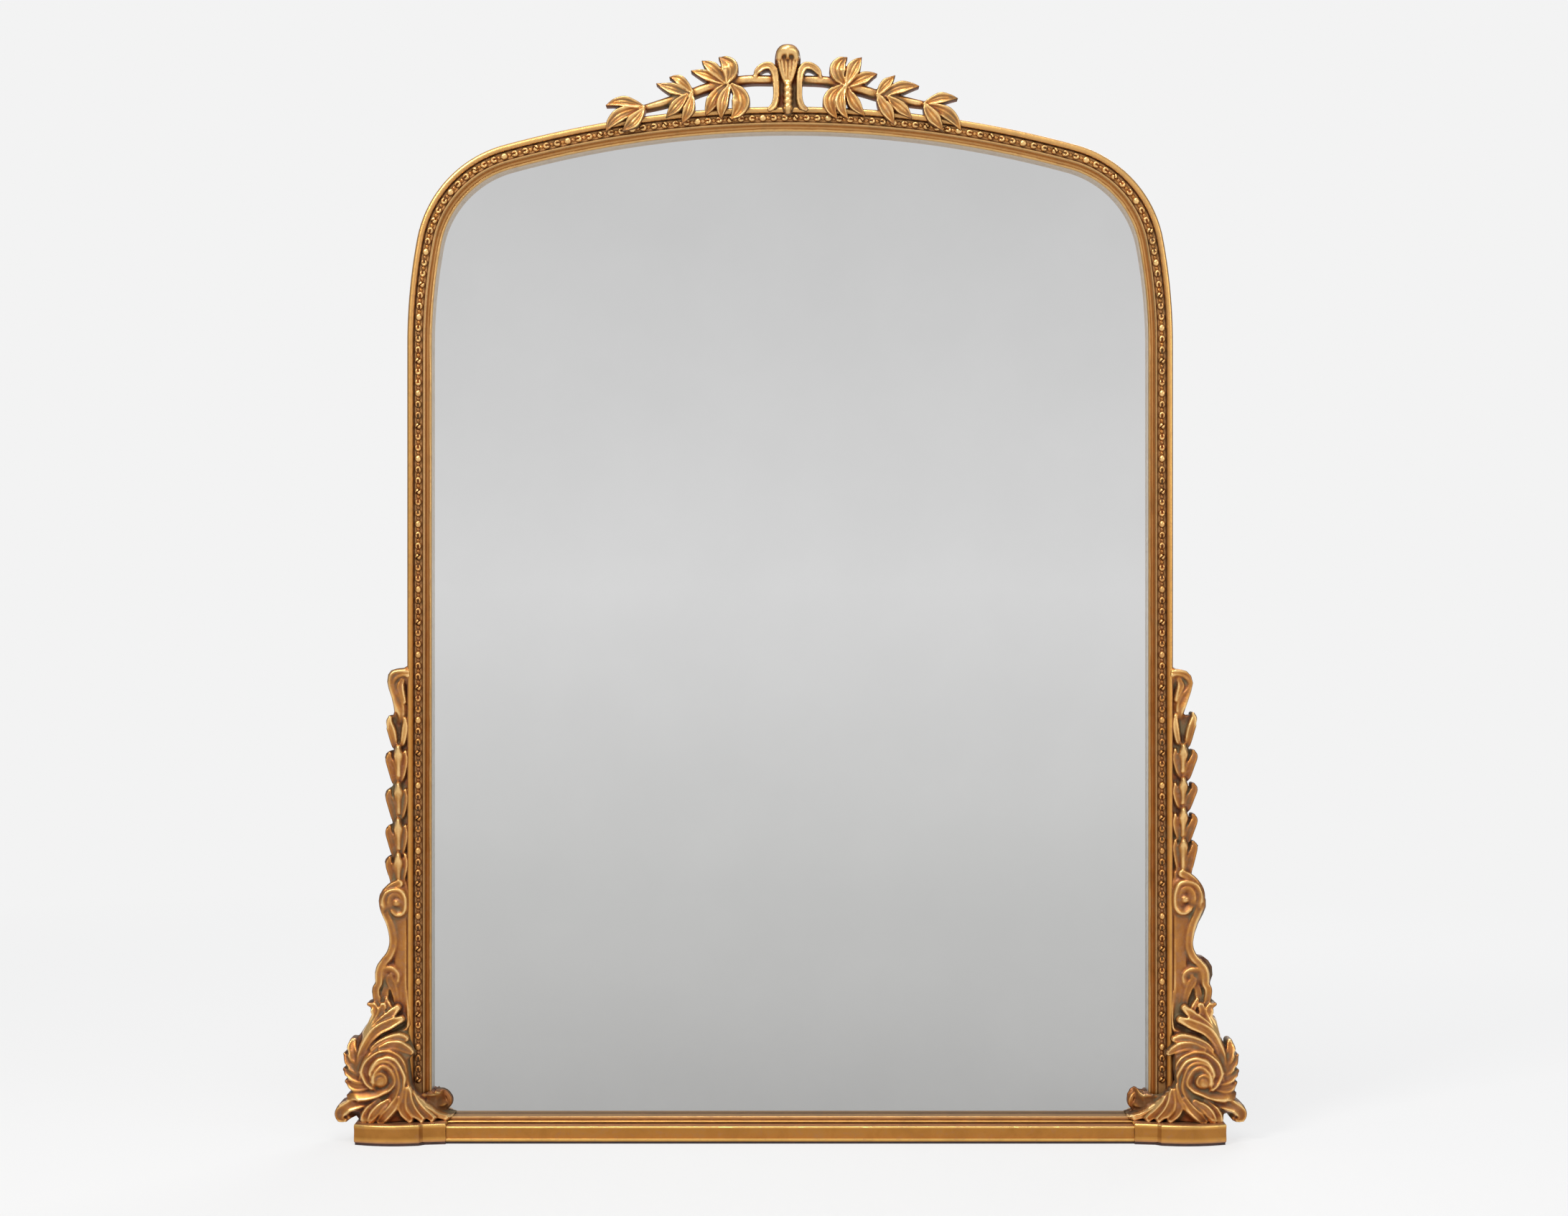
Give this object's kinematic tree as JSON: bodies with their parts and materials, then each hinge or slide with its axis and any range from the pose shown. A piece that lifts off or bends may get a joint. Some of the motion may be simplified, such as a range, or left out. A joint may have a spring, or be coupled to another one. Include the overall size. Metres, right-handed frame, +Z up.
{
  "type": "trumeau mirror",
  "caption": "Arched overmantel mirror in a beaded gilt frame on two plinths, with a pierced crest and carved scrolls down its sides.",
  "frame": {"origin": "middle of the base pad's underside, in line with the middle of the moulding's depth range", "axes": "+Z up, the mirror faces -Y, +X to the right as seen from the front"},
  "size_m": [0.7622, 0.0643, 0.9149],
  "materials": {
    "gilt_moulding": "antique gilt over wood, worn",
    "gilt_carving": "antique gilt over carved wood, worn",
    "dark_base": "dark stain",
    "mirror_glass": "silvered, polished",
    "backing_board": "raw board",
    "clip_steel": "zinc plated",
    "screw_steel": "zinc plated",
    "hanger_steel": "brass plated",
    "dowel_wood": "raw beech",
    "bumper_rubber": "matt"
  },
  "bodies": {
    "frame": {"base_rail": "gilt_moulding", "left_plinth": "gilt_moulding", "right_plinth": "gilt_moulding", "left_stile": "gilt_moulding", "right_stile": "gilt_moulding", "arched_rail": "gilt_moulding", "left_stile_beads": "gilt_carving", "right_stile_beads": "gilt_carving", "arch_beads": "gilt_carving", "crest_palmette": "gilt_carving", "left_crest_spray": "gilt_carving", "right_crest_spray": "gilt_carving", "left_corner_volute": "gilt_carving", "right_corner_volute": "gilt_carving", "left_console": "gilt_carving", "right_console": "gilt_carving", "left_husk_chain": "gilt_carving", "right_husk_chain": "gilt_carving", "base_pad": "dark_base", "mirror_glass": "mirror_glass", "backing_board": "backing_board", "board_clips": "clip_steel", "clip_screws": "screw_steel", "hanger_screws": "screw_steel", "hanger_straps": "hanger_steel", "crest_dowels": "dowel_wood", "side_dowels": "dowel_wood", "wall_bumpers": "bumper_rubber"},
    "left_ring": {"left_hanger_ring": "hanger_steel"},
    "right_ring": {"right_hanger_ring": "hanger_steel"}
  },
  "joints": [
    {"name": "left_ring_hinge", "type": "hinge", "parent": "frame", "child": "left_ring", "pos_m": [-0.3132, 0.02475, 0.64], "axis": [1, 0, 0], "range_deg": [0, 175]},
    {"name": "right_ring_hinge", "type": "hinge", "parent": "frame", "child": "right_ring", "pos_m": [0.3132, 0.02475, 0.64], "axis": [1, 0, 0], "range_deg": [0, 175]}
  ]
}
